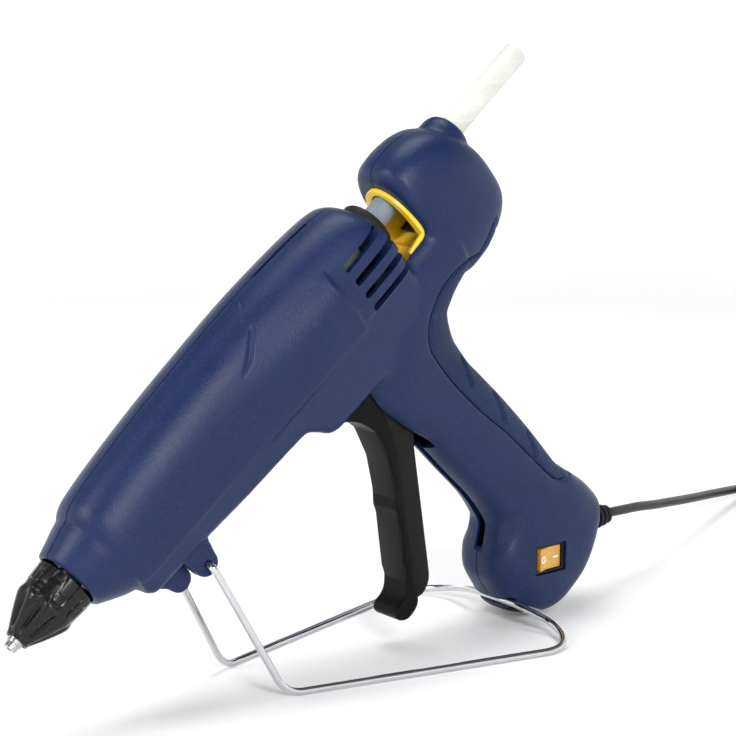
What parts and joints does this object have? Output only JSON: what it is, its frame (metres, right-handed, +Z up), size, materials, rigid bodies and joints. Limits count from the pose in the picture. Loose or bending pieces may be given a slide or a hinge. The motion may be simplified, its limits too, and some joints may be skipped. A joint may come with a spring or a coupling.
{
  "type": "hot glue gun",
  "caption": "Corded hot-melt glue gun on its folding wire stand: pistol grip, long finger trigger, rear window and guide for the glue stick, side rocker switch, cord and plug.",
  "frame": {"origin": "on the surface that the gun stands on, under the middle of the gun and its stand, cord left out", "axes": "+Z up, -X towards the nozzle, +X towards the cord's exit, -Y the gun's left side (the switch side)"},
  "size_m": [0.6287, 0.1439, 0.2845],
  "materials": {
    "housing": "navy, fine moulded grain",
    "grip": "soft-touch navy with fine diamond texture",
    "trigger": "satin black",
    "black_plastic": "satin black",
    "rubber": "matt black",
    "guide": "warm yellow, slightly glossy",
    "amber": "translucent amber",
    "glue": "milky translucent",
    "chrome": "bright plated wire",
    "steel": "machined",
    "brass": "polished",
    "aluminium": "die cast",
    "silicone": "red-brown silicone",
    "ceramic": "unglazed, heat proof",
    "board": "green circuit board",
    "plug": "satin black"
  },
  "bodies": {
    "shell": {"housing_left": "housing", "housing_right": "housing", "soft_grip": "grip", "stand_clip_pad": "rubber", "inlet_sleeve": "rubber", "stick_guide": "guide", "guide_plate": "black_plastic", "nozzle_tip": "steel", "nozzle_cover": "black_plastic", "valve_spring": "steel", "melt_chamber": "aluminium", "heater_element": "ceramic", "heater_clamp": "steel", "front_holder": "ceramic", "rear_holder": "ceramic", "thermal_cutout": "ceramic", "inlet_hose": "silicone", "guide_rod_left": "steel", "return_spring_left": "steel", "guide_rod_right": "steel", "return_spring_right": "steel", "rod_support": "black_plastic", "trigger_pin": "steel", "switch_frame": "black_plastic", "control_board": "board", "board_relay": "black_plastic", "board_capacitor": "aluminium", "cord_clamp": "black_plastic", "heater_lead_live": "silicone", "heater_lead_neutral": "silicone", "strain_relief": "rubber", "mains_cord": "rubber", "cord_tail": "rubber", "cord_coil": "rubber", "coil_tie": "black_plastic", "plug_body": "plug", "plug_pin_left": "brass", "plug_pin_right": "brass", "housing_screw_1": "steel", "housing_screw_2": "steel", "housing_screw_3": "steel", "housing_screw_4": "steel", "housing_screw_5": "steel", "housing_screw_6": "steel", "housing_screw_7": "steel", "housing_screw_8": "steel"},
    "stick": {"glue_stick": "glue"},
    "carriage": {"feed_carriage": "black_plastic", "drive_pin": "steel"},
    "jaw": {"clamp_jaw": "steel"},
    "trigger": {"trigger": "trigger"},
    "rocker": {"switch_rocker": "amber"},
    "stand": {"stand_wire": "chrome"},
    "valve": {"valve_ball": "steel"}
  },
  "joints": [
    {"name": "trigger_squeeze", "type": "hinge", "parent": "shell", "child": "trigger", "pos_m": [0.02286, 0, 0.12318], "axis": [0, -1, 0], "range_deg": [0, 16], "stiffness_Nm_per_rad": 1.2, "springref_deg": -8.59, "deforming": ["return_spring_left", "return_spring_right"]},
    {"name": "carriage_feed", "type": "slide", "parent": "shell", "child": "carriage", "axis": [-0.7705, 0, -0.6374], "range_m": [0, 0.012]},
    {"name": "stick_feed", "type": "slide", "parent": "shell", "child": "stick", "axis": [-0.7705, 0, -0.6374], "range_m": [0, 0.012]},
    {"name": "clamp_grip", "type": "slide", "parent": "carriage", "child": "jaw", "axis": [-0.6374, 0, 0.7705], "range_m": [0, 0.0011]},
    {"name": "valve_lift", "type": "slide", "parent": "shell", "child": "valve", "axis": [0.7705, 0, 0.6374], "range_m": [0, 0.0015], "stiffness_N_per_m": 200, "springref_m": -0.003, "deforming": ["valve_spring"]},
    {"name": "rocker_tilt", "type": "hinge", "parent": "shell", "child": "rocker", "pos_m": [0.117, -0.018, 0.0326], "axis": [0, 0, -1], "range_deg": [0, 14]},
    {"name": "stand_swing", "type": "hinge", "parent": "shell", "child": "stand", "pos_m": [-0.08539, 0, 0.06686], "axis": [0, 1, 0], "range_deg": [0, 75]}
  ],
  "couplings": [
    {"joint": "carriage_feed", "follows": "trigger_squeeze", "m_per_rad": 0.0425},
    {"joint": "stick_feed", "follows": "trigger_squeeze", "m_per_rad": 0.0425},
    {"joint": "clamp_grip", "follows": "trigger_squeeze", "m_per_rad": 0.00365}
  ]
}
